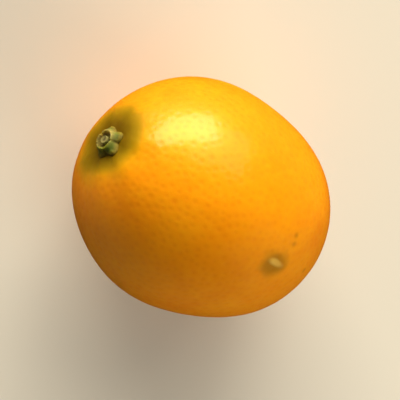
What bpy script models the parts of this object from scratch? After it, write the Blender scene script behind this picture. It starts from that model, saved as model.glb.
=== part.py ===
"""One kumquat lying on its side, with its green calyx and the clipped stem.

Metres, +Z up. The origin is the middle of the small flat spot that the fruit
rests on. The stem end points to +X and is raised a little from the table.
"""

import math

import bmesh
import bpy
from mathutils import Matrix, Vector

# Fruit: the stem end is at local +Z, the style end at local -Z
FRUIT_LENGTH = 0.0350
FRUIT_WIDTH = 0.0294
FRUIT_THICKNESS = 0.0291
SQUARENESS = 2.06
STYLE_END_FULLNESS = 0.03
FRUIT_SEGMENTS = 64
FRUIT_RINGS = 46
RING_CROWDING = 0.45

# Broad swellings and flattened sides of the peel: direction and height. The
# spread is the angle from that direction over which the height fades.
SWELLING_SPREAD = 0.5
SWELLINGS = (
    (Vector((0.15, 0.97, 0.18)), 0.00050),
    (Vector((0.55, 0.52, 0.66)), 0.00025),
    (Vector((-0.33, 0.86, -0.40)), -0.00050),
    (Vector((0.62, -0.24, 0.74)), -0.00045),
    (Vector((0.33, -0.86, 0.40)), 0.00015),
    (Vector((-0.15, -0.97, -0.18)), -0.00045),
    (Vector((-0.62, 0.24, -0.74)), -0.00020),
    (Vector((0.98, 0.00, 0.17)), 0.00040),
    (Vector((0.64, 0.00, -0.77)), -0.00040),
)

# Hollow round the calyx and the low ridges on the shoulder beside it
STEM_HOLLOW_DEPTH = 0.0006
STEM_HOLLOW_RADIUS = 0.0027
SHOULDER_RIDGES = 7
SHOULDER_RIDGE_HEIGHT = 0.00007
SHOULDER_RIDGE_RADIUS = 0.0046

# Style scar: a dimple with a low point in it
STYLE_DIMPLE_DEPTH = 0.00028
STYLE_DIMPLE_RADIUS = 0.0016
STYLE_POINT_HEIGHT = 0.00034
STYLE_POINT_RADIUS = 0.00055

# Resting pose and the spot that is pressed flat
AXIS_RISE = math.radians(20)
PRESSED_DEPTH = 0.00056
PRESSED_EDGE = 0.00010

# Calyx: a raised rim round a well, with five lobes that lie against the peel
GAP = 0.0003
CALYX_LOBES = 5
CALYX_TURN = math.radians(14)
CALYX_TIP_BLUNTNESS = 1.5
CALYX_NOTCH_SHARPNESS = 0.6
CALYX_UNEVENNESS = 0.045
CALYX_LOBE_RADIUS = 0.00226
CALYX_NOTCH_RADIUS = 0.00162
CALYX_RIM_RADIUS = 0.00120
CALYX_WELL_RADIUS = 0.00078
CALYX_WELL_THICKNESS = 0.00030
CALYX_RIM_THICKNESS = 0.00095
CALYX_LOBE_THICKNESS = 0.00052
CALYX_EDGE_THICKNESS = 0.00030
# Share of the way from the rim to the outline over which the rim falls to the lobe
CALYX_RIM_FALL = 0.55
CALYX_SEGMENTS = 60
# Each ring's share of the way to the rim, and from the rim to the outline
CALYX_RINGS = ((0.35, 0.0), (0.65, 0.0), (0.82, 0.0), (1.0, 0.0), (1.0, 0.25), (1.0, 0.55), (1.0, 1.0))

# Stem: a short stub clipped just below the calyx rim
STUB_BASE_RADIUS = 0.00054
STUB_TOP_RADIUS = 0.00050
STUB_HEIGHT = 0.00030
STUB_SLANT = 0.10
STUB_DISH_RADIUS = 0.00032
STUB_DISH_DEPTH = 0.00010
STUB_SEGMENTS = 20

AXIS_TO_WORLD = Matrix.Rotation(math.pi / 2 - AXIS_RISE, 3, "Y")
UP_IN_FRUIT = AXIS_TO_WORLD.transposed() @ Vector((0, 0, 1))


def clear_scene():
    for thing in list(bpy.data.objects):
        bpy.data.objects.remove(thing, do_unlink=True)


def bell(distance, spread):
    return math.exp(-((distance / spread) ** 2))


def smooth_step(value):
    value = min(max(value, 0.0), 1.0)
    return value * value * (3.0 - 2.0 * value)


def peel_point(polar, around):
    """Grown shape of the peel, before the fruit lay on anything.

    polar is the angle down from the stem end, around the angle about the axis.
    """
    power = 2.0 / SQUARENESS
    rise = math.cos(polar)
    girth = abs(math.sin(polar)) ** power * (1.0 - STYLE_END_FULLNESS * rise)
    point = Vector((
        FRUIT_THICKNESS / 2 * girth * math.cos(around),
        FRUIT_WIDTH / 2 * girth * math.sin(around),
        FRUIT_LENGTH / 2 * math.copysign(abs(rise) ** power, rise),
    ))
    outward = point.normalized()
    off_axis = math.hypot(point.x, point.y)
    for direction, height in SWELLINGS:
        point += outward * height * bell(outward.angle(direction), SWELLING_SPREAD)
    if rise > 0:
        ridge = SHOULDER_RIDGE_HEIGHT * math.cos(SHOULDER_RIDGES * around)
        near_calyx = (off_axis / SHOULDER_RIDGE_RADIUS) ** 2
        point += outward * ridge * near_calyx * math.exp(1.0 - near_calyx)
        point.z -= STEM_HOLLOW_DEPTH * bell(off_axis, STEM_HOLLOW_RADIUS)
    else:
        point.z += STYLE_DIMPLE_DEPTH * bell(off_axis, STYLE_DIMPLE_RADIUS)
        point.z -= STYLE_POINT_HEIGHT * bell(off_axis, STYLE_POINT_RADIUS)
    return point


def pressed_height(height):
    """Height above the table of a point that the table pushes back, with a soft edge."""
    if height <= -PRESSED_EDGE:
        return 0.0
    if height < PRESSED_EDGE:
        return (height + PRESSED_EDGE) ** 2 / (4.0 * PRESSED_EDGE)
    return height


def make_material(name, color, roughness):
    material = bpy.data.materials.new(name)
    material.use_nodes = True
    shader = material.node_tree.nodes["Principled BSDF"]
    shader.inputs["Base Color"].default_value = (*color, 1.0)
    shader.inputs["Roughness"].default_value = roughness
    shader.inputs["Metallic"].default_value = 0.0
    return material


def add_object(name, builder, material, sharp_angle):
    """Turn a finished bmesh into an object, smooth but for edges past sharp_angle degrees."""
    mesh = bpy.data.meshes.new(name)
    bmesh.ops.recalc_face_normals(builder, faces=builder.faces)
    builder.to_mesh(mesh)
    builder.free()
    mesh.materials.append(material)
    mesh.shade_smooth()
    mesh.set_sharp_from_angle(angle=math.radians(sharp_angle))
    thing = bpy.data.objects.new(name, mesh)
    bpy.context.collection.objects.link(thing)
    return thing


def add_fruit(material):
    """The whole fruit as one solid. Returns it and the middle of its flat spot."""
    builder = bmesh.new()
    bmesh.ops.create_uvsphere(
        builder, u_segments=FRUIT_SEGMENTS, v_segments=FRUIT_RINGS, radius=1.0)
    for vert in builder.verts:
        even = math.acos(min(max(vert.co.z, -1.0), 1.0))
        polar = even - RING_CROWDING * math.sin(2.0 * even) / 2.0
        vert.co = peel_point(polar, math.atan2(vert.co.y, vert.co.x))
    lowest = min(vert.co.dot(UP_IN_FRUIT) for vert in builder.verts)
    table = lowest + PRESSED_DEPTH
    flat_verts = []
    for vert in builder.verts:
        height = vert.co.dot(UP_IN_FRUIT) - table
        pushed = pressed_height(height)
        vert.co += UP_IN_FRUIT * (pushed - height)
        if pushed == 0.0:
            flat_verts.append(vert.co.copy())
    flat_middle = sum(flat_verts, Vector()) / len(flat_verts)
    return add_object("fruit", builder, material, 60), flat_middle


def polar_at(radius):
    """Angle from the stem end at which the peel is about this far from the axis."""
    girth = radius / (FRUIT_THICKNESS / 2 * (1.0 - STYLE_END_FULLNESS))
    return math.asin(girth ** (SQUARENESS / 2.0))


def calyx_outline(around):
    """Distance from the axis to the calyx edge: five short points, no two quite alike."""
    from_tip = abs(math.sin(CALYX_LOBES * (around - CALYX_TURN) / 2.0))
    lobe = (1.0 - from_tip ** CALYX_TIP_BLUNTNESS) ** CALYX_NOTCH_SHARPNESS
    outline = CALYX_NOTCH_RADIUS + (CALYX_LOBE_RADIUS - CALYX_NOTCH_RADIUS) * lobe
    return outline * (1.0 + CALYX_UNEVENNESS * math.cos(2.0 * around + CALYX_TURN))


def calyx_thickness(radius, outline):
    if radius <= CALYX_RIM_RADIUS:
        climb = (radius - CALYX_WELL_RADIUS) / (CALYX_RIM_RADIUS - CALYX_WELL_RADIUS)
        rim_part = CALYX_RIM_THICKNESS - CALYX_WELL_THICKNESS
        return CALYX_WELL_THICKNESS + rim_part * smooth_step(climb)
    fall = (radius - CALYX_RIM_RADIUS) / (outline - CALYX_RIM_RADIUS)
    rim_part = CALYX_RIM_THICKNESS - CALYX_LOBE_THICKNESS
    lobe_part = CALYX_LOBE_THICKNESS + (CALYX_EDGE_THICKNESS - CALYX_LOBE_THICKNESS) * fall ** 2
    return lobe_part + rim_part * (1.0 - smooth_step(fall / CALYX_RIM_FALL))


def calyx_ring(builder, inner_share, outer_share, is_top):
    """One ring of the calyx, on its underside or on its top."""
    ring = []
    for step in range(CALYX_SEGMENTS):
        around = 2.0 * math.pi * step / CALYX_SEGMENTS
        outline = calyx_outline(around)
        radius = CALYX_RIM_RADIUS * inner_share + (outline - CALYX_RIM_RADIUS) * outer_share
        point = peel_point(polar_at(radius), around)
        point.z += GAP
        if is_top:
            point.z += calyx_thickness(radius, outline)
        ring.append(builder.verts.new(point))
    return ring


def join_rings(builder, first, second):
    count = len(first)
    for step in range(count):
        after = (step + 1) % count
        builder.faces.new((first[step], first[after], second[after], second[step]))


def cap_ring(builder, ring, point):
    middle = builder.verts.new(point)
    for step in range(len(ring)):
        builder.faces.new((ring[step], ring[(step + 1) % len(ring)], middle))


def add_calyx(material):
    """The rim and its five lobes, whose underside follows the hollow of the peel."""
    builder = bmesh.new()
    rings = [calyx_ring(builder, inner, outer, False) for inner, outer in CALYX_RINGS]
    rings += [calyx_ring(builder, inner, outer, True) for inner, outer in reversed(CALYX_RINGS)]
    for first, second in zip(rings, rings[1:]):
        join_rings(builder, first, second)
    underside = peel_point(0.0, 0.0) + Vector((0, 0, GAP))
    cap_ring(builder, rings[0], underside)
    cap_ring(builder, rings[-1], underside + Vector((0, 0, CALYX_WELL_THICKNESS)))
    return add_object("calyx", builder, material, 50)


def add_stem_stub(material):
    """The stub of stem in the cup, cut a little aslant and dished by drying."""
    builder = bmesh.new()
    bmesh.ops.create_cone(
        builder, cap_ends=True, segments=STUB_SEGMENTS,
        radius1=STUB_BASE_RADIUS, radius2=STUB_TOP_RADIUS, depth=STUB_HEIGHT)
    top = max(builder.faces, key=lambda face: face.calc_center_median().z)
    rim_width = STUB_TOP_RADIUS - STUB_DISH_RADIUS
    bmesh.ops.inset_region(builder, faces=[top], thickness=rim_width, depth=-STUB_DISH_DEPTH)
    for vert in builder.verts:
        if vert.co.z > 0.0:
            vert.co.z += STUB_SLANT * vert.co.x
    stub = add_object("stem_stub", builder, material, 40)
    stem_seat = peel_point(0.0, 0.0).z + GAP + CALYX_WELL_THICKNESS
    stub.location.z = stem_seat + GAP + STUB_HEIGHT / 2
    return stub


def build():
    clear_scene()
    peel = make_material("ripe_peel", (0.87, 0.31, 0.01), 0.34)
    green = make_material("green_calyx", (0.17, 0.19, 0.03), 0.60)
    dry_wood = make_material("dry_stem", (0.13, 0.08, 0.03), 0.80)
    fruit, flat_middle = add_fruit(peel)
    calyx = add_calyx(green)
    stub = add_stem_stub(dry_wood)
    fruit_axis = bpy.data.objects.new("fruit_axis", None)
    bpy.context.collection.objects.link(fruit_axis)
    for piece in (fruit, calyx, stub):
        piece.parent = fruit_axis
    fruit_axis.rotation_euler.y = math.pi / 2 - AXIS_RISE
    fruit_axis.location = -(AXIS_TO_WORLD @ flat_middle)


build()
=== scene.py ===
"""A ripe kumquat lying on a pale table top, looked down on in soft window light."""

import math

import bpy
import numpy as np
from mathutils import Matrix, Vector, kdtree, noise


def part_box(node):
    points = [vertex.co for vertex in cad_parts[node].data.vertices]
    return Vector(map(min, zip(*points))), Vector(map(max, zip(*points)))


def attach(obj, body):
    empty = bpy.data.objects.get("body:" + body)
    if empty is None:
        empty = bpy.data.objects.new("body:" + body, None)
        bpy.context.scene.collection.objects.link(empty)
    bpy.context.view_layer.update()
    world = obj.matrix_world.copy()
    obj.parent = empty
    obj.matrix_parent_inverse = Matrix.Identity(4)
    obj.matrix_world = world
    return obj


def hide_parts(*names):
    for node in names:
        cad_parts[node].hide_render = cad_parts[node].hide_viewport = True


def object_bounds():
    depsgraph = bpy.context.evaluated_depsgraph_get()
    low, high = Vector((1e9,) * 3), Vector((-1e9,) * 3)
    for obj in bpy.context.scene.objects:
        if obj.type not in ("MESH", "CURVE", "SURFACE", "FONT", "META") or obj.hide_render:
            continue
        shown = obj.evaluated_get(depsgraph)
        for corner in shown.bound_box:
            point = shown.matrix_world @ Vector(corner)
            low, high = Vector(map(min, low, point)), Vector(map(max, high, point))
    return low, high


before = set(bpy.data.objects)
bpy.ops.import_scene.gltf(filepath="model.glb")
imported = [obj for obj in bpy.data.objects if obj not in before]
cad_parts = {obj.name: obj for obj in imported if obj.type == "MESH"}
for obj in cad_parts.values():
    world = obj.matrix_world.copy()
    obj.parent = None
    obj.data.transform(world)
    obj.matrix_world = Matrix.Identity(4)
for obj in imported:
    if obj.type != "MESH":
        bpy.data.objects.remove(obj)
cad_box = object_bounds()

# The peel is the fruit's thin rind, grown in one piece with the flesh under it. It is
# smooth and waxy, with a shallow dimple over each oil gland, a green flush round the
# stem end, a healed knock on its side and a flat spot where the soft fruit lies.
FRUIT_LENGTH = 0.0350
FRUIT_WIDTH = 0.0294
FRUIT_THICKNESS = 0.0291
SQUARENESS = 2.06
STYLE_END_FULLNESS = 0.03
AXIS_RISE = math.radians(20)
PRESSED_EDGE = 0.00010

# Broad swellings and flattened sides: direction in the fruit's own frame, and height
SWELLING_SPREAD = 0.5
SWELLINGS = (
    ((0.15, 0.97, 0.18), 0.00050),
    ((0.55, 0.52, 0.66), 0.00025),
    ((-0.33, 0.86, -0.40), -0.00050),
    ((0.62, -0.24, 0.74), -0.00045),
    ((0.33, -0.86, 0.40), 0.00015),
    ((-0.15, -0.97, -0.18), -0.00045),
    ((-0.62, 0.24, -0.74), -0.00020),
    ((0.98, 0.00, 0.17), 0.00040),
    ((0.64, 0.00, -0.77), -0.00040),
)
STEM_HOLLOW_DEPTH = 0.0006
STEM_HOLLOW_RADIUS = 0.0027
SHOULDER_RIDGES = 7
SHOULDER_RIDGE_HEIGHT = 0.00007
SHOULDER_RIDGE_RADIUS = 0.0046
STYLE_DIMPLE_DEPTH = 0.00028
STYLE_DIMPLE_RADIUS = 0.0016
STYLE_POINT_HEIGHT = 0.00034
STYLE_POINT_RADIUS = 0.00055

# Oil glands, and the slower unevenness between them. Both fade out near the table.
GLAND_SEED = 7
GLAND_CANDIDATES = 26000
GLAND_SPACING = 0.00084
GLAND_SIZES = (0.80, 1.25)
GLAND_RADIUS = 0.00027
GLAND_DEPTH = 0.000026
UNEVEN_LENGTH = 0.0027
UNEVEN_HEIGHT = 0.000022
RELIEF_FADE_HEIGHT = 0.0004

# Flush round the stem end, yellow-green on one side and browner opposite, partly painted shade
FLUSH_INNER_RADIUS = 0.0022
FLUSH_OUTER_RADIUS = 0.0067
FLUSH_PAINTED_SHADE_SIDE = math.radians(-40)
FLUSH_PAINTED_SHADE_REACH = 0.0012
FLUSH_CORE_RADIUS = 0.0042
FLUSH_CORE_FADE = 0.0022
FLUSH_CORE_LEAST = 0.55
FLUSH_FINGER_LENGTH = 0.0045
FLUSH_FINGER_REACH = 0.0009
RAGGED_LENGTH = 0.0016
RAGGED_REACH = 0.0003

# The healed knock is a dimple with a bruise round a pale scab. Russet specks lie near
# it, and the style has left a dark scar. A reach is in radii of its mark.
BLEMISH_PLACE = (-0.01426, 0.0021, -0.0029)
BLEMISH_RADIUS = 0.00160
BLEMISH_DIMPLE_RADIUS = 0.00128
BLEMISH_DEPTH = 0.00016
MARK_RAGGEDNESS = 0.25
BRUISE_OFFSET = (0.0, 0.00025, 0.0)
BRUISE_STRETCH = (1.0, 1.0, 1.4)
BRUISE_REACH = 1.45
SCAB_HALF_LENGTH = 0.00130
SCAB_HALF_WIDTH = 0.00042
SCAB_HEIGHT = 0.00010
SCAB_REACH = 1.5
SCAB_THINNING = 0.18
SCAB_LEAN = 0.4
RUSSET_PLACES = (
    (-0.01409, -0.00206, -0.00423),
    (-0.01412, -0.00101, -0.00458),
    (-0.01195, 0.00111, -0.01020),
)
RUSSET_RADIUS = 0.00036
STYLE_SCAR_RADIUS = 0.00062


def bell(distance, spread):
    return np.exp(-((distance / spread) ** 2))


def ease(value):
    value = np.clip(value, 0.0, 1.0)
    return value * value * (3.0 - 2.0 * value)


def unit(vectors):
    return vectors / np.linalg.norm(vectors, axis=-1, keepdims=True)


def grown_peel(heading):
    """The peel in the fruit's own frame, stem end at +Z, for rows of unit vectors."""
    power = 2.0 / SQUARENESS
    rise = heading[:, 2]
    around = np.arctan2(heading[:, 1], heading[:, 0])
    girth = np.hypot(heading[:, 0], heading[:, 1]) ** power * (1.0 - STYLE_END_FULLNESS * rise)
    point = np.column_stack((
        FRUIT_THICKNESS / 2 * girth * np.cos(around),
        FRUIT_WIDTH / 2 * girth * np.sin(around),
        FRUIT_LENGTH / 2 * np.sign(rise) * np.abs(rise) ** power,
    ))
    outward = unit(point)
    off_axis = np.hypot(point[:, 0], point[:, 1])
    height = np.zeros(len(point))
    for direction, swelling in SWELLINGS:
        angle = np.arccos(np.clip(outward @ unit(np.array(direction)), -1.0, 1.0))
        height += swelling * bell(angle, SWELLING_SPREAD)
    near_calyx = (off_axis / SHOULDER_RIDGE_RADIUS) ** 2
    ridge = np.cos(SHOULDER_RIDGES * around) * near_calyx * np.exp(1.0 - near_calyx)
    height += np.where(rise > 0, SHOULDER_RIDGE_HEIGHT * ridge, 0.0)
    point += outward * height[:, None]
    stem_end = -STEM_HOLLOW_DEPTH * bell(off_axis, STEM_HOLLOW_RADIUS)
    style_end = STYLE_DIMPLE_DEPTH * bell(off_axis, STYLE_DIMPLE_RADIUS)
    style_end -= STYLE_POINT_HEIGHT * bell(off_axis, STYLE_POINT_RADIUS)
    point[:, 2] += np.where(rise > 0, stem_end, style_end)
    return point


def pressed(height):
    """Height above the table after the table pushed the peel flat, with a soft edge."""
    bent = (height + PRESSED_EDGE) ** 2 / (4.0 * PRESSED_EDGE)
    return np.where(height <= -PRESSED_EDGE, 0.0, np.where(height < PRESSED_EDGE, bent, height))


def read_points(piece):
    flat = np.empty(len(piece.data.vertices) * 3)
    piece.data.vertices.foreach_get("co", flat)
    return flat.reshape(-1, 3)


def write_points(piece, points):
    piece.data.vertices.foreach_set("co", points.ravel())
    piece.data.update()


def paint_attributes(piece, marks):
    """Stores each mark as an attribute with one value for every point of the piece."""
    for name, values in marks.items():
        layer = piece.data.attributes.new(name, "FLOAT", "POINT")
        layer.data.foreach_set("value", np.asarray(values, dtype=np.float32))


def scatter_evenly(points, spacing):
    """Keeps the points that lie at least this far from every point kept before."""
    cells, kept = {}, []
    steps = [(i, j, k) for i in (-1, 0, 1) for j in (-1, 0, 1) for k in (-1, 0, 1)]
    for point in points:
        cell = tuple((point // spacing).astype(int))
        near = (cells.get((cell[0] + i, cell[1] + j, cell[2] + k), ()) for i, j, k in steps)
        if all(math.dist(point, other) >= spacing for group in near for other in group):
            cells.setdefault(cell, []).append(tuple(point))
            kept.append(point)
    return np.array(kept)


def uneven(points, length):
    """Smooth noise from -1 to 1 whose waves are about this long."""
    return np.array([noise.noise(Vector(point) / length) for point in points])


TO_TABLE = np.array(Matrix.Rotation(math.pi / 2 - AXIS_RISE, 3, "Y"))
PEEL_CUTS = 62

# A cube is cut fine and blown up into the fruit. The operator makes at most 100 cuts,
# so a second call halves every square. The tangent evens out the squares' sizes.
bpy.ops.object.select_all(action="DESELECT")
bpy.ops.mesh.primitive_cube_add(size=2.0)
peel = bpy.context.object
peel.name = "kumquat_peel"
bpy.ops.object.mode_set(mode="EDIT")
bpy.ops.mesh.subdivide(number_cuts=PEEL_CUTS)
bpy.ops.mesh.subdivide(number_cuts=1)
bpy.ops.object.mode_set(mode="OBJECT")
peel_heading = unit(np.tan(read_points(peel) * math.pi / 4))
grown = grown_peel(peel_heading)
lying = grown @ TO_TABLE.T
node_low, node_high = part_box("fruit")
lying_low, lying_high = lying.min(axis=0), lying.max(axis=0)
MOVED = (np.array(node_low) + np.array(node_high) - lying_low - lying_high) / 2
MOVED[2] = node_high.z - lying_high[2]


def laid_down(points):
    """From the fruit's own frame to where it lies on the table."""
    return points @ TO_TABLE.T + MOVED


skin = laid_down(grown)
skin[:, 2] = pressed(skin[:, 2])
write_points(peel, skin)
normals = np.empty(len(skin) * 3)
peel.data.vertex_normals.foreach_get("vector", normals)
normals = normals.reshape(-1, 3)

chance = np.random.default_rng(GLAND_SEED)
candidates = grown_peel(unit(chance.normal(size=(GLAND_CANDIDATES, 3))))
glands = scatter_evenly(candidates, GLAND_SPACING)
gland_size = chance.uniform(*GLAND_SIZES, len(glands))
gland_tree = kdtree.KDTree(len(glands))
for index, gland in enumerate(glands):
    gland_tree.insert(gland, index)
gland_tree.balance()
nearest = [gland_tree.find(point)[1:] for point in grown]
gland_index = np.array([found[0] for found in nearest])
gland_distance = np.array([found[1] for found in nearest])
gland_mark = bell(gland_distance, GLAND_RADIUS * gland_size[gland_index])

off_axis = np.hypot(grown[:, 0], grown[:, 1])
ragged = uneven(grown, RAGGED_LENGTH)
# Painted shade: towards one side the flush is browner and reaches further
painted_shade_side = 0.5 + 0.5 * np.cos(np.arctan2(grown[:, 1], grown[:, 0]) - FLUSH_PAINTED_SHADE_SIDE)
reach = FLUSH_OUTER_RADIUS + FLUSH_PAINTED_SHADE_REACH * painted_shade_side
reach += FLUSH_FINGER_REACH * uneven(grown, FLUSH_FINGER_LENGTH) + RAGGED_REACH * ragged
flush = ease((reach - off_axis) / (FLUSH_OUTER_RADIUS - FLUSH_INNER_RADIUS))
flush = np.where(grown[:, 2] > 0, flush, 0.0)
# The dark core right round the calyx is partly the flush's own colour and partly painted shade,
# deepest on the painted-shade side
core_strength = FLUSH_CORE_LEAST + (1.0 - FLUSH_CORE_LEAST) * painted_shade_side
core_and_painted_shade = ease((FLUSH_CORE_RADIUS - off_axis) / FLUSH_CORE_FADE) * core_strength
core_and_painted_shade = np.where(grown[:, 2] > 0, core_and_painted_shade, 0.0)
scar = np.where(grown[:, 2] < 0, bell(off_axis, STYLE_SCAR_RADIUS), 0.0)

blemish = grown_peel(unit(np.array([BLEMISH_PLACE])))[0]
from_blemish = grown - blemish
blemish_distance = np.linalg.norm(from_blemish, axis=1)
torn = 1.0 + MARK_RAGGEDNESS * ragged
# The scab is long the way the fruit is long and thins towards the style end, and the
# bruise reaches further on one side of it
scab_shape = np.hypot(from_blemish[:, 2] / SCAB_HALF_LENGTH, from_blemish[:, 1] / SCAB_HALF_WIDTH)
scab_shape = np.where(blemish_distance < 2.0 * SCAB_HALF_LENGTH, scab_shape, np.inf)
scab = ease(SCAB_REACH - scab_shape * torn)
toward_stem = np.clip(from_blemish[:, 2] / SCAB_HALF_LENGTH + SCAB_LEAN, -1.0, 1.0)
scab *= 1.0 - SCAB_THINNING + SCAB_THINNING * toward_stem
from_bruise = (from_blemish - np.array(BRUISE_OFFSET)) / BRUISE_STRETCH
bruise_distance = np.linalg.norm(from_bruise, axis=1)
bruise = ease(BRUISE_REACH - bruise_distance * torn / BLEMISH_RADIUS)
russet = np.zeros(len(grown))
for speck_place in RUSSET_PLACES:
    russet += bell(np.linalg.norm(grown - np.array(speck_place), axis=1), RUSSET_RADIUS)

relief = UNEVEN_HEIGHT * uneven(grown, UNEVEN_LENGTH)
relief -= GLAND_DEPTH * gland_size[gland_index] * gland_mark * (1.0 - scab) * (1.0 - scar)
relief -= BLEMISH_DEPTH * bell(blemish_distance, BLEMISH_DIMPLE_RADIUS)
relief += SCAB_HEIGHT * scab
relief *= ease(skin[:, 2] / RELIEF_FADE_HEIGHT)
write_points(peel, skin + normals * relief[:, None])
peel_marks = {
    "gland": gland_mark,
    "flush": flush,
    "flush_brown_painted_shade": flush * painted_shade_side,
    "flush_core_and_painted_shade": core_and_painted_shade,
    "style_scar": scar,
    "bruise": bruise,
    "scab": scab,
    "russet": russet,
}
paint_attributes(peel, peel_marks)
bpy.ops.object.shade_smooth()


def paint(hex_colour):
    """An sRGB hex colour as linear red, green, blue and alpha."""
    shares = [int(hex_colour[i:i + 2], 16) / 255 for i in (1, 3, 5)]
    return (*[s / 12.92 if s <= 0.04045 else ((s + 0.055) / 1.055) ** 2.4 for s in shares], 1.0)


def add_node(tree, kind, inputs=(), **settings):
    """Adds a node with its settings, and sets or links each listed input."""
    node = tree.nodes.new(kind)
    for name, value in settings.items():
        setattr(node, name, value)
    for socket, value in inputs:
        if isinstance(value, bpy.types.NodeSocket):
            tree.links.new(value, node.inputs[socket])
        else:
            node.inputs[socket].default_value = value
    return node


def new_finish(piece, name):
    """A fresh material on the piece. Returns its node tree and its shader."""
    material = bpy.data.materials.new(name)
    material.use_nodes = True
    piece.data.materials.clear()
    piece.data.materials.append(material)
    return material.node_tree, material.node_tree.nodes["Principled BSDF"]


def paint_layers(tree, ground, layers):
    """Lays colours over one another, each given as its mask, its strength and its colour."""
    for mask, strength, colour in layers:
        cover = add_node(tree, "ShaderNodeMath", [(0, mask), (1, strength)], operation="MULTIPLY")
        ground = add_node(tree, "ShaderNodeMix", [
            (0, cover.outputs["Value"]), (6, ground), (7, colour)], data_type="RGBA").outputs[2]
    return ground


def soft_patches(tree, place, length, low, high, detail=2.0):
    """A mask of soft patches of about this length in metres. They fade in from low to high."""
    cloud = add_node(
        tree, "ShaderNodeTexNoise", [("Vector", place), ("Scale", 1.0 / length), ("Detail", detail)])
    return add_node(tree, "ShaderNodeMapRange", [
        ("Value", cloud.outputs["Fac"]), ("From Min", low), ("From Max", high),
    ]).outputs["Result"]


def fine_grain(tree, place, length, height, strength):
    """A bumped normal for grain of about this length and height in metres."""
    grain = add_node(
        tree, "ShaderNodeTexNoise", [("Vector", place), ("Scale", 1.0 / length), ("Detail", 3.0)])
    return add_node(tree, "ShaderNodeBump", [
        ("Height", grain.outputs["Fac"]), ("Strength", strength), ("Distance", height),
    ]).outputs["Normal"]


# Citrus rind: a waxed, slightly translucent skin over pale pith. Light that enters it
# comes out warmer, and the wax gives a broad shine, tinted yellow as a painted reflection of
# warm surroundings, with a finer white one over it. A few brown specks lie about 4 mm apart,
# with sizes given as shares of that spacing.
PALE_PATCH_LENGTH = 0.012
DEEP_PATCH_LENGTH = 0.007
FLECK_LENGTH = 0.0010
RIND_GRAIN_LENGTH = 0.00022
RIND_GRAIN_HEIGHT = 0.00002
SPECK_SPACING = 0.0042
SPECK_LARGEST = 0.055
SPECK_EDGE = 0.02
SPECKLESS_SHARE = 0.62
DEEP_FLUSH_FROM = 0.45

tree, rind = new_finish(peel, "waxy_citrus_rind")
place = add_node(tree, "ShaderNodeTexCoord").outputs["Object"]
marks = {
    name: add_node(tree, "ShaderNodeAttribute", attribute_name=name).outputs["Fac"]
    for name in peel_marks
}
speck_cells = add_node(
    tree, "ShaderNodeTexVoronoi", [("Vector", place), ("Scale", 1.0 / SPECK_SPACING)])
speck_size = add_node(tree, "ShaderNodeMapRange", [
    ("Value", speck_cells.outputs["Color"]), ("From Min", SPECKLESS_SHARE), ("From Max", 1.0),
    ("To Min", 0.0), ("To Max", SPECK_LARGEST),
]).outputs["Result"]
speck_depth = add_node(tree, "ShaderNodeMath", [
    (0, speck_size), (1, speck_cells.outputs["Distance"])], operation="SUBTRACT").outputs["Value"]
speck = add_node(tree, "ShaderNodeMapRange", [
    ("Value", speck_depth), ("From Min", 0.0), ("From Max", SPECK_EDGE)]).outputs["Result"]
deep_flush = add_node(tree, "ShaderNodeMapRange", [
    ("Value", marks["flush"]), ("From Min", DEEP_FLUSH_FROM), ("From Max", 1.0),
]).outputs["Result"]
colour = paint_layers(tree, paint("#EE8E04"), [
    (soft_patches(tree, place, PALE_PATCH_LENGTH, low=0.44, high=0.64), 0.60, paint("#F59E08")),
    (soft_patches(tree, place, DEEP_PATCH_LENGTH, low=0.50, high=0.72), 0.55, paint("#E67E04")),
    (soft_patches(tree, place, FLECK_LENGTH, low=0.45, high=0.75, detail=3.0), 0.20, paint("#FAAE14")),
    (marks["gland"], 0.26, paint("#DC7404")),
    (marks["flush"], 0.80, paint("#A69A02")),
    # Partly painted shade: the brown flush on one side and the dark core round the calyx
    (marks["flush_brown_painted_shade"], 0.60, paint("#946606")),
    (deep_flush, 0.85, paint("#7A5C02")),
    (marks["flush_core_and_painted_shade"], 0.80, paint("#583E02")),
    (marks["bruise"], 0.68, paint("#805A06")),
    (marks["scab"], 0.85, paint("#E4B650")),
    (speck, 0.80, paint("#8A4C0C")),
    (marks["russet"], 0.50, paint("#8E4C02")),
    (marks["style_scar"], 0.85, paint("#6E4A1C")),
])
gloss = add_node(tree, "ShaderNodeMapRange", [
    ("Value", marks["gland"]), ("To Min", 0.40), ("To Max", 0.48)]).outputs["Result"]
rind_normal = fine_grain(tree, place, RIND_GRAIN_LENGTH, RIND_GRAIN_HEIGHT, strength=0.35)
tree.links.new(colour, rind.inputs["Base Color"])
tree.links.new(gloss, rind.inputs["Roughness"])
tree.links.new(rind_normal, rind.inputs["Normal"])
rind.inputs["IOR"].default_value = 1.50
rind.inputs["Subsurface Weight"].default_value = 0.15
rind.inputs["Subsurface Radius"].default_value = (1.0, 0.35, 0.06)
rind.inputs["Subsurface Scale"].default_value = 0.0020
# Painted reflection: the yellow specular tint stands in for warm surroundings
rind.inputs["Specular Tint"].default_value = paint("#FFE660")
rind.inputs["Specular IOR Level"].default_value = 0.62
rind.inputs["Coat Weight"].default_value = 0.26
rind.inputs["Coat Roughness"].default_value = 0.18
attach(peel, "root")
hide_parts("fruit")

# The calyx held the flower: five short leathery sepals, grown together into a ring that
# stands up round the stem, with painted light making it pale towards the window. Their tips lie on the
# peel.
CALYX_LOBES = 5
CALYX_TURN = math.radians(14)
CALYX_TIP_BLUNTNESS = 1.5
CALYX_NOTCH_SHARPNESS = 0.6
CALYX_UNEVENNESS = 0.045
CALYX_LOBE_RADIUS = 0.00226
CALYX_NOTCH_RADIUS = 0.00162
CALYX_RIM_RADIUS = 0.00120
CALYX_WELL_RADIUS = 0.00078
CALYX_GAP = 0.0003
CALYX_WELL_THICKNESS = 0.00030
CALYX_RIM_THICKNESS = 0.00095
CALYX_LOBE_THICKNESS = 0.00052
CALYX_EDGE_THICKNESS = 0.00030
CALYX_RIM_FALL = 0.55
CALYX_SINK = 0.00008
CALYX_SEGMENTS = 240
CALYX_RINGS = 80

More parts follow.
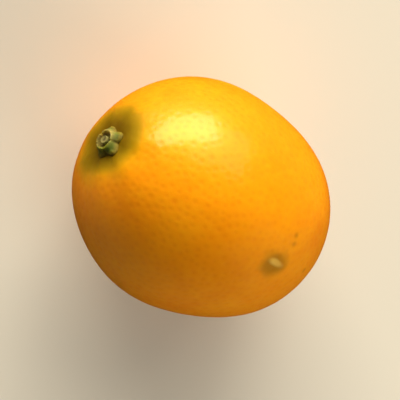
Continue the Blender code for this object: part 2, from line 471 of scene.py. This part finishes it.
# Finer relief: the keel along each sepal, the grooves between them, the rounding of
# their edge, the wrinkles, and the tips, which have settled onto the peel
KEEL_HEIGHT = 0.00007
KEEL_WIDTH = 0.25
GROOVE_DEPTH = 0.00012
GROOVE_WIDTH = 0.05
EDGE_SHARPNESS = 12
TIP_SETTLING = 0.00036
WRINKLE_HEIGHT = 0.00004
WRINKLE_LENGTH = 0.00035
FINE_WRINKLE_LENGTH = 0.00014
FINE_WRINKLE_SHARE = 0.5

# Marks for the colours. The side towards the window is paler, which is painted light: there the
# pale rim is broad and strong and reaches into the well's shaded wall, and opposite it is thin
# and faint. Another side is browner, which is partly painted shade.
PAINTED_LIGHT_SIDE = math.radians(-75)
PAINTED_LIGHT_AVERAGE = 0.40
PAINTED_LIGHT_SWING = 0.70
BROWN_PAINTED_SHADE_SIDE = math.radians(20)
BROWN_PAINTED_SHADE_AVERAGE = 0.35
BROWN_PAINTED_SHADE_SWING = 0.65
BROWNED_BY_WRINKLES = 0.30
RIM_MARK_LEAST = 0.20
RIM_MARK_BY_PAINTED_LIGHT = 0.75
RIM_MARK_BY_WRINKLES = 0.35
RIM_MARK_WIDTH = 0.00020
RIM_MARK_WIDENING = 0.00022
RIM_MARK_PAINTED_LIGHT_SHIFT = 0.00012
TIP_MARK_START = 0.70


def peel_at(radius, around):
    """The peel at a distance from the fruit's axis, near the stem end."""
    girth = radius / (FRUIT_THICKNESS / 2 * (1.0 - STYLE_END_FULLNESS))
    polar = np.arcsin(girth ** (SQUARENESS / 2.0))
    return grown_peel(np.column_stack((
        np.sin(polar) * np.cos(around), np.sin(polar) * np.sin(around), np.cos(polar))))


bpy.ops.object.select_all(action="DESELECT")
bpy.ops.mesh.primitive_uv_sphere_add(segments=CALYX_SEGMENTS, ring_count=CALYX_RINGS, radius=1.0)
calyx = bpy.context.object
calyx.name = "kumquat_calyx"
ball = read_points(calyx)
around = np.arctan2(ball[:, 1], ball[:, 0])
out = np.arccos(np.clip(np.abs(ball[:, 2]), 0.0, 1.0)) / (math.pi / 2)
from_tip = np.abs(np.sin(CALYX_LOBES * (around - CALYX_TURN) / 2.0))
lobe = (1.0 - from_tip ** CALYX_TIP_BLUNTNESS) ** CALYX_NOTCH_SHARPNESS
outline = CALYX_NOTCH_RADIUS + (CALYX_LOBE_RADIUS - CALYX_NOTCH_RADIUS) * lobe
outline *= 1.0 + CALYX_UNEVENNESS * np.cos(2.0 * around + CALYX_TURN)
radius = out * outline
climb = ease((radius - CALYX_WELL_RADIUS) / (CALYX_RIM_RADIUS - CALYX_WELL_RADIUS))
fall = np.clip((radius - CALYX_RIM_RADIUS) / (outline - CALYX_RIM_RADIUS), 0.0, 1.0)
thickness = CALYX_LOBE_THICKNESS + (CALYX_EDGE_THICKNESS - CALYX_LOBE_THICKNESS) * fall ** 2
thickness += (CALYX_RIM_THICKNESS - CALYX_LOBE_THICKNESS) * (1.0 - ease(fall / CALYX_RIM_FALL))
thickness += (CALYX_WELL_THICKNESS - CALYX_RIM_THICKNESS) * (1.0 - climb)
thickness += KEEL_HEIGHT * bell(from_tip, KEEL_WIDTH) * fall
thickness -= GROOVE_DEPTH * bell(1.0 - from_tip, GROOVE_WIDTH) * climb
thickness -= TIP_SETTLING * fall
edge_round = np.sqrt(np.clip(1.0 - out ** EDGE_SHARPNESS, 0.0, 1.0))
sepals = peel_at(radius, around)
on_top = ball[:, 2] > 0
sepals[:, 2] += np.where(on_top, (CALYX_GAP + thickness) * edge_round, -CALYX_SINK)
wrinkle = uneven(sepals, WRINKLE_LENGTH)
wrinkle += FINE_WRINKLE_SHARE * uneven(sepals, FINE_WRINKLE_LENGTH)
sepals[:, 2] += np.where(on_top, WRINKLE_HEIGHT * (wrinkle - 1.0) * edge_round, 0.0)
write_points(calyx, laid_down(sepals))

# Painted light: paler towards the window, where the pale rim widens and reaches into the shaded well
# wall
painted_light_share = ease(PAINTED_LIGHT_AVERAGE + PAINTED_LIGHT_SWING * np.cos(around - PAINTED_LIGHT_SIDE))
# Partly painted shade: browner on one side, and browner along the wrinkles
browned_and_painted_shade = BROWN_PAINTED_SHADE_AVERAGE + BROWN_PAINTED_SHADE_SWING * np.cos(around - BROWN_PAINTED_SHADE_SIDE)
browned_and_painted_shade = ease(browned_and_painted_shade + BROWNED_BY_WRINKLES * wrinkle)
rim_width = RIM_MARK_WIDTH + RIM_MARK_WIDENING * painted_light_share
rim = bell(radius - CALYX_RIM_RADIUS + RIM_MARK_PAINTED_LIGHT_SHIFT * painted_light_share, rim_width)
rim *= RIM_MARK_LEAST + RIM_MARK_BY_PAINTED_LIGHT * painted_light_share + RIM_MARK_BY_WRINKLES * wrinkle
calyx_marks = {
    "rim": np.clip(np.where(on_top, rim, 0.0), 0.0, 1.0),
    # Painted light: the well is paler so that its shaded wall does not go dark
    "well": np.where(on_top, 1.0 - climb, 0.0),
    "browned_and_painted_shade": browned_and_painted_shade,
    "tip": np.where(on_top, ease((out - TIP_MARK_START) / (1.0 - TIP_MARK_START)), 1.0),
}
paint_attributes(calyx, calyx_marks)
bpy.ops.object.shade_smooth()

# Sepal tissue: dull green, browner at the tips, and paler on the raised rim and in the well.
# The rim's paleness towards the window and the well's paleness are painted light, and the
# browner side is partly painted shade.
# It is thin enough to let a little light through, which softens its shaded side.
SEPAL_PATCH_LENGTH = 0.0007
SEPAL_GRAIN_LENGTH = 0.00012
SEPAL_GRAIN_HEIGHT = 0.00003

tree, sepal = new_finish(calyx, "green_sepal_with_painted_light")
place = add_node(tree, "ShaderNodeTexCoord").outputs["Object"]
marks = {
    name: add_node(tree, "ShaderNodeAttribute", attribute_name=name).outputs["Fac"]
    for name in calyx_marks
}
colour = paint_layers(tree, paint("#566410"), [
    (soft_patches(tree, place, SEPAL_PATCH_LENGTH, low=0.40, high=0.70), 0.60, paint("#48520E")),
    (marks["tip"], 0.80, paint("#78600E")),
    # Painted light: the well is painted paler than the sepal
    (marks["well"], 0.80, paint("#80762E")),
    # Partly painted light: the pale rim, strongest towards the window
    (marks["rim"], 0.90, paint("#9A864A")),
    # Partly painted shade: the browner side of the calyx
    (marks["browned_and_painted_shade"], 0.60, paint("#5E460C")),
])
sepal_normal = fine_grain(tree, place, SEPAL_GRAIN_LENGTH, SEPAL_GRAIN_HEIGHT, strength=0.6)
tree.links.new(colour, sepal.inputs["Base Color"])
tree.links.new(sepal_normal, sepal.inputs["Normal"])
sepal.inputs["Subsurface Weight"].default_value = 0.60
sepal.inputs["Subsurface Radius"].default_value = (1.0, 0.9, 0.3)
sepal.inputs["Subsurface Scale"].default_value = 0.0015
sepal.inputs["Roughness"].default_value = 0.70
sepal.inputs["Specular IOR Level"].default_value = 0.25
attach(calyx, "root")
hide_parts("calyx")

# The stem stub is what the clippers left: a woody stalk cut a little aslant just below
# the calyx rim. Its end has dried, so the bark stands as a ring round a dished pith.
STUB_BASE_RADIUS = 0.00054
STUB_TOP_RADIUS = 0.00050
STUB_HEIGHT = 0.00030
STUB_SLANT = math.atan(0.10)
STUB_BARK_WIDTH = 0.00012
STUB_PITH_RADIUS = 0.00014
STUB_PITH_INSET = 0.000084
STUB_DISH_DEPTH = 0.00010
STUB_END_DEPTH = 0.00015
STUB_SIDES = 40
STUB_ROUNDING = 2
FACE_TOLERANCE = 0.00001
FIBRE_HEIGHT = 0.00002
FIBRE_LENGTH = 0.00016
BARK_MARK_START = 0.70
BARK_MARK_FADE = 0.20
PITH_MARK_REACH = 1.6
PITH_MARK_DEPTH = 0.00018

stub_foot = float(peel_at(np.zeros(1), np.zeros(1))[0, 2]) + CALYX_GAP + CALYX_WELL_THICKNESS
stub_top = stub_foot + CALYX_GAP + STUB_HEIGHT
stub_foot -= CALYX_SINK


def select_faces(piece, wanted):
    """Selects only the faces whose middle passes the test. Leaves the piece in edit mode."""
    bpy.ops.object.mode_set(mode="EDIT")
    bpy.ops.mesh.select_mode(type="FACE")
    bpy.ops.mesh.select_all(action="DESELECT")
    bpy.ops.object.mode_set(mode="OBJECT")
    for face in piece.data.polygons:
        face.select = wanted(face.center)
    bpy.ops.object.mode_set(mode="EDIT")


bpy.ops.object.select_all(action="DESELECT")
bpy.ops.mesh.primitive_cone_add(
    vertices=STUB_SIDES, radius1=STUB_BASE_RADIUS, radius2=STUB_TOP_RADIUS,
    depth=stub_top - stub_foot, location=(0, 0, (stub_top + stub_foot) / 2))
stub = bpy.context.object
stub.name = "kumquat_stem_stub"
bpy.ops.object.transform_apply(location=True, rotation=True, scale=True)
select_faces(stub, lambda middle: middle.z > stub_top - FACE_TOLERANCE)
bpy.ops.mesh.inset(thickness=STUB_BARK_WIDTH / 2)
bpy.ops.mesh.inset(thickness=STUB_BARK_WIDTH / 2)
bpy.ops.transform.translate(value=(0, 0, -STUB_DISH_DEPTH / 2))
bpy.ops.mesh.inset(thickness=STUB_TOP_RADIUS - STUB_BARK_WIDTH - STUB_PITH_RADIUS)
bpy.ops.transform.translate(value=(0, 0, -STUB_DISH_DEPTH / 2))
bpy.ops.mesh.inset(thickness=STUB_PITH_INSET)
# The whole cut end, dish and pith too, is tilted at once
select_faces(stub, lambda middle: middle.z > stub_top - STUB_END_DEPTH)
bpy.ops.transform.rotate(value=STUB_SLANT, orient_axis="Y", center_override=(0, 0, stub_top))
bpy.ops.object.mode_set(mode="OBJECT")
rounding = stub.modifiers.new("rounding", "SUBSURF")
rounding.levels = rounding.render_levels = STUB_ROUNDING
bpy.ops.object.modifier_apply(modifier=rounding.name)
stalk = read_points(stub)
fibres = uneven(stalk, FIBRE_LENGTH)[:, None] * (1.0, 1.0, 0.0)
stalk *= 1.0 + FIBRE_HEIGHT / STUB_TOP_RADIUS * fibres
off_middle = np.hypot(stalk[:, 0], stalk[:, 1])
on_end = stalk[:, 2] > stub_top - PITH_MARK_DEPTH
write_points(stub, laid_down(stalk))
stub_marks = {
    "bark": ease((off_middle / STUB_TOP_RADIUS - BARK_MARK_START) / BARK_MARK_FADE),
    "pith": np.where(on_end, ease(PITH_MARK_REACH - off_middle / STUB_PITH_RADIUS), 0.0),
}
paint_attributes(stub, stub_marks)
bpy.ops.object.shade_smooth_by_angle(angle=math.radians(50))

# Dry stalk: pale khaki bark, a cut face still a little green, and a dark sunken pith
STALK_PATCH_LENGTH = 0.0003

tree, stalk_wood = new_finish(stub, "dried_cut_stalk")
place = add_node(tree, "ShaderNodeTexCoord").outputs["Object"]
marks = {
    name: add_node(tree, "ShaderNodeAttribute", attribute_name=name).outputs["Fac"]
    for name in stub_marks
}
colour = paint_layers(tree, paint("#7C7236"), [
    (soft_patches(tree, place, STALK_PATCH_LENGTH, low=0.40, high=0.70), 0.60, paint("#5E5424")),
    (marks["bark"], 0.70, paint("#8A8446")),
    (marks["pith"], 0.70, paint("#3E3016")),
])
tree.links.new(colour, stalk_wood.inputs["Base Color"])
stalk_wood.inputs["Roughness"].default_value = 0.80
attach(stub, "root")
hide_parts("stem_stub")

# The camera looks down on the fruit, turned so that the calyx is at the upper left.
# CALYX_IN_PICTURE is where the fruit's stem end points, to the right and up.
CAMERA_HEIGHT_ANGLE = math.radians(70)
CAMERA_DISTANCE = 0.35
FRAME_WIDTH = 0.050
CALYX_IN_PICTURE = (-0.857, 0.516)
toward = Vector((math.cos(CAMERA_HEIGHT_ANGLE), 0.0, math.sin(CAMERA_HEIGHT_ANGLE)))
stem_way = Vector(TO_TABLE @ np.array((0.0, 0.0, 1.0)))
along = (stem_way - toward * stem_way.dot(toward)).normalized()
beside = along.cross(toward)
right_part, up_part = CALYX_IN_PICTURE
picture_right = along * right_part + beside * up_part
picture_up = along * up_part - beside * right_part
fruit_middle = (cad_box[0] + cad_box[1]) / 2

camera_data = bpy.data.cameras.new("camera")
camera = bpy.data.objects.new("camera", camera_data)
bpy.context.collection.objects.link(camera)
camera_data.sensor_width = 36.0
camera_data.lens = camera_data.sensor_width * CAMERA_DISTANCE / FRAME_WIDTH
camera_data.clip_start = 0.01
camera_data.clip_end = 20.0
turned = Matrix((picture_right, picture_up, toward)).transposed().to_4x4()
camera.matrix_world = Matrix.Translation(fruit_middle + toward * CAMERA_DISTANCE) @ turned
bpy.context.scene.camera = camera

# A plain pale table top, lit by a window beyond the top of the picture. A pale wall at
# the upper right and the rest of the room at the lower right send light back.
bpy.ops.object.select_all(action="DESELECT")
bpy.ops.mesh.primitive_plane_add(size=6.0)
table = bpy.context.object
table.name = "table_top"

# Matt paint: an even pale tone that takes a soft shadow and mirrors nothing clearly
tree, table_paint = new_finish(table, "matt_white_table")
table_paint.inputs["Base Color"].default_value = paint("#DAD5CA")
table_paint.inputs["Roughness"].default_value = 0.7


def add_panel(name, way, distance, size, power, colour):
    """A soft rectangular light that faces the fruit from this way."""
    data = bpy.data.lights.new(name, "AREA")
    data.shape = "RECTANGLE"
    data.size, data.size_y = size
    data.energy = power
    data.color = paint(colour)[:3]
    panel = bpy.data.objects.new(name, data)
    bpy.context.collection.objects.link(panel)
    way = way.normalized()
    panel.rotation_euler = way.to_track_quat("Z", "Y").to_euler()
    panel.location = fruit_middle + way * distance
    return panel


# The middle of the window is about 18 degrees above the table top
WINDOW_RISE = 0.31
window_way = picture_right * -0.02 + picture_up * 0.95 + toward * 0.18
window_way.z = WINDOW_RISE
wall_way = picture_right * 0.50 + picture_up * 0.62 + toward * 0.54
room_way = picture_right * 0.70 - picture_up * 0.70 + toward * 0.10
add_panel("window", window_way, distance=1.60, size=(1.50, 0.95), power=53.0, colour="#FFF6E2")
add_panel("lit_wall", wall_way, distance=0.6, size=(0.5, 0.5), power=1.8, colour="#FFF3DC")
room_fill = add_panel(
    "room_fill", room_way, distance=0.6, size=(0.5, 0.5), power=2.7, colour="#FFF8E2")
# The fill, the table and the room light the peel, but would bleach its rims if it
# mirrored them, and the real one's rims are orange.
room_fill.visible_glossy = False
table.visible_glossy = False

world = bpy.data.worlds.new("pale_room")
bpy.context.scene.world = world
world.use_nodes = True
world.node_tree.nodes["Background"].inputs["Color"].default_value = paint("#F4F4F2")
world.node_tree.nodes["Background"].inputs["Strength"].default_value = 0.16
world.cycles_visibility.glossy = False
bpy.context.scene.view_settings.view_transform = "Standard"
